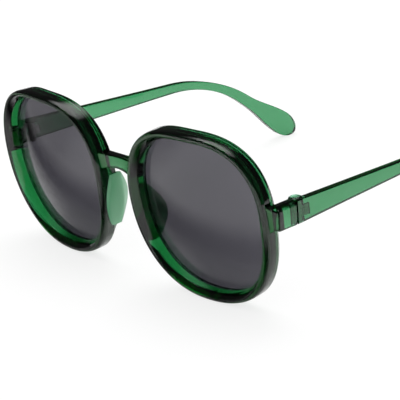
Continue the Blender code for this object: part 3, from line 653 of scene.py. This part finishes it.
JOINT_GAP = 0.3 * mm
AXIS_INSET = 0.3 * mm
TEMPLE_THICKNESS = 2.8 * mm
TEMPLE_EDGE = 0.45 * mm
SPLAY = math.radians(3.8)
SLOPE = math.radians(1.2)
STRAIGHT = 64.5 * mm
HEAD_RISE = 0.5 * mm
BEND_RADIUS = 54.9 * mm
BEND_ANGLE = math.radians(38.3)
NECK_REACH = 2.3 * mm
PADDLE = 9.3 * mm
TIP_LENGTH = 8.0 * mm
HEIGHTS = {"head": 7.8 * mm, "middle": 5.8 * mm, "waist": 4.0 * mm, "bend": 3.25 * mm, "neck": 4.45 * mm}
MIDDLE_SHARE = 0.45
WAIST_SHARE = 0.9
BARREL_RADIUS = 1.35 * mm
BARREL_HALF = 3.6 * mm
CLEARANCE = 0.25 * mm
CAP_RADIUS = 2.4 * mm
CAP_THICKNESS = 0.85 * mm
CAP_LAP = 0.3 * mm
CAP_EDGE = 1.0 * mm
KNUCKLE_HALF = 1.6 * mm
TEMPLE_LEAF = 1.8 * mm


def temple_line(run):
    """Place (y, z) and heading of the temple's middle line: straight, then an arc, then straight."""
    arc = BEND_RADIUS * BEND_ANGLE
    along = np.minimum(run, STRAIGHT)
    heading = SLOPE + np.clip(run - STRAIGHT, 0, arc) / BEND_RADIUS
    tail = np.maximum(run - STRAIGHT - arc, 0)
    y = along * math.cos(SLOPE) + BEND_RADIUS * (np.sin(heading) - math.sin(SLOPE)) + tail * np.cos(heading)
    z = HEAD_RISE - along * math.sin(SLOPE) + BEND_RADIUS * (np.cos(heading) - math.cos(SLOPE))
    return y, z - tail * np.sin(heading), heading


def through(places, values, at):
    """A smooth line through (place, value) pairs: cubic pieces whose slopes join their neighbours' ends."""
    places, values = np.array(places), np.array(values)
    wide = np.pad(values, 1, mode="edge")
    span = np.pad(places, 1, mode="edge")
    slope = (wide[2:] - wide[:-2]) / (span[2:] - span[:-2])
    index = np.clip(np.searchsorted(places, at, side="right") - 1, 0, len(places) - 2)
    step = places[index + 1] - places[index]
    t = np.clip((at - places[index]) / step, 0, 1)
    return ((2 * t**3 - 3 * t**2 + 1) * values[index] + (t**3 - 2 * t**2 + t) * step * slope[index]
            + (3 * t**2 - 2 * t**3) * values[index + 1] + (t**3 - t**2) * step * slope[index + 1])


def temple_loops(side):
    """The temple's sections in its hinge's frame, from the butt face to the tip. The height follows a
    smooth line to the neck, swells to the paddle by 3 t squared less 2 t cubed, and rounds the tip as an
    ellipse."""
    arc = BEND_RADIUS * BEND_ANGLE
    y, z, heading = temple_line(np.array(STRAIGHT + arc))
    lowest = np.hypot(TIP_LENGTH * np.sin(heading), PADDLE / 2 * np.cos(heading))
    body = STRAIGHT + arc + float((AXIS.z + z - lowest) / np.sin(heading))
    neck = STRAIGHT + arc + NECK_REACH
    tip = body + TIP_LENGTH * np.sin(np.linspace(0, np.pi / 2, 32)[1:-1])
    run = np.concatenate((np.linspace(JOINT_GAP - AXIS_SETBACK, body, 200), tip))
    places = (0, STRAIGHT * MIDDLE_SHARE, STRAIGHT * WAIST_SHARE, STRAIGHT + arc / 2, neck)
    slim = through(places, [*HEIGHTS.values()], np.maximum(run, 0))
    share = np.clip((run - neck) / (body - neck), 0, 1)
    past = np.maximum(run - body, 0) / TIP_LENGTH
    height = slim + (PADDLE - HEIGHTS["neck"]) * share**2 * (3 - 2 * share)
    half = height * np.sqrt(1 - past**2) / 2
    y, z, heading = temple_line(np.maximum(run, 0))
    y = y + np.minimum(run, 0)
    inner, outer = AXIS_INSET + 0 * half, AXIS_INSET + TEMPLE_THICKNESS + 0 * half
    outline = np.stack([np.stack(corner, axis=-1) for corner in
                        ((inner, -half), (outer, -half), (outer, half), (inner, half))], axis=-2)
    cut = np.minimum(TEMPLE_EDGE, half)[:, None] * np.ones(4)
    section = round_corners(outline, cut, 6)
    return np.stack((side * section[..., 0], y[:, None] + section[..., 1] * np.sin(heading)[:, None],
                     z[:, None] + section[..., 1] * np.cos(heading)[:, None]), axis=-1)


def turned_mesh(name, profile, steps=64):
    """A closed solid turned about the z axis from (radius, height) points, bottom to top."""
    turn = np.linspace(0, 2 * np.pi, steps, endpoint=False)
    return grid_mesh(name, np.array([np.stack((r * np.cos(turn), r * np.sin(turn), z + 0 * turn), axis=-1)
                                     for r, z in profile]))


def notch_mesh(side):
    """The space cut for the barrel: square towards the front, and a quarter circle behind the axis."""
    reach = BARREL_RADIUS + CLEARANCE
    turn = np.linspace(0, np.pi / 2, 17)
    x = np.concatenate(([-CAP_RADIUS - CUT, reach], reach * np.cos(turn), [-CAP_RADIUS - CUT]))
    y = np.concatenate(([-AXIS_SETBACK - CUT] * 2, reach * np.sin(turn), [reach]))
    return grid_mesh("notch", np.array([np.stack((side * x, y, z + 0 * x), axis=-1)
                                        for z in (-BARREL_HALF - CUT, BARREL_HALF + CLEARANCE)]))


for word, side in (("left", 1), ("right", -1)):
    temple = add_piece("moulded_temple_" + word, grid_mesh("temple", temple_loops(side)), polished_green)
    roof = BARREL_HALF + CLEARANCE
    dome = [(CAP_RADIUS, roof - CAP_LAP)]
    for angle in np.linspace(0, np.pi / 2, 8):
        dome.append((CAP_RADIUS - CAP_EDGE * (1 - math.cos(angle)), roof + CAP_THICKNESS * math.sin(angle)))
    combine(temple, [turned_mesh("dome", dome)], "UNION")
    xs = sorted((-side * CUT, side * LEAF_DEPTH))
    reach = BARREL_RADIUS + 2 * CLEARANCE + TEMPLE_LEAF
    half = KNUCKLE_HALF + CLEARANCE
    pocket = box_mesh("pocket", (xs[0], 0, -half), (xs[1], reach, half))
    combine(temple, [notch_mesh(side), pocket], "DIFFERENCE")
    hinge = Matrix.Translation((side * AXIS.x, AXIS.y, AXIS.z)) @ Matrix.Rotation(side * SPLAY, 4, "Z")
    temple.data.transform(hinge)
    shade(temple)
    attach(temple, "temple_" + word)
    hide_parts("temple_" + word)


# The hinges: nickel-plated steel leaves, pressed hot into the pockets of the front and the temples, and a
# slotted screw through their three knuckles. Their shapes stay as the frame has them.

# Tumbled before plating: pale nickel with a fine broken gloss, which the film of plastic on it leaves
# partly matt. Its grain is really under a tenth of a millimetre, and is drawn 0.35 mm wide, so that the
# render shows it.
steel, steel_out = new_material("tumbled nickel-plated steel")
tree = steel.node_tree
height, relief = fine_relief(tree, size=0.35 * mm, depth=0.004 * mm)
grain = add_node(tree, "ShaderNodeMapRange", {
    "Value": height, "From Min": NOISE_LOW, "From Max": NOISE_HIGH, "To Min": 0.22, "To Max": 0.45})
metal = add_node(tree, "ShaderNodeBsdfPrincipled", {
    "Base Color": linear("#d4d4d0"), "Metallic": 0.6, "Roughness": grain.outputs[0], "Normal": relief})
tree.links.new(metal.outputs[0], steel_out.inputs["Surface"])
for name, node in frame["nodes"].items():
    if name.startswith("hinge"):
        node.data.materials.clear()
        node.data.materials.append(steel)
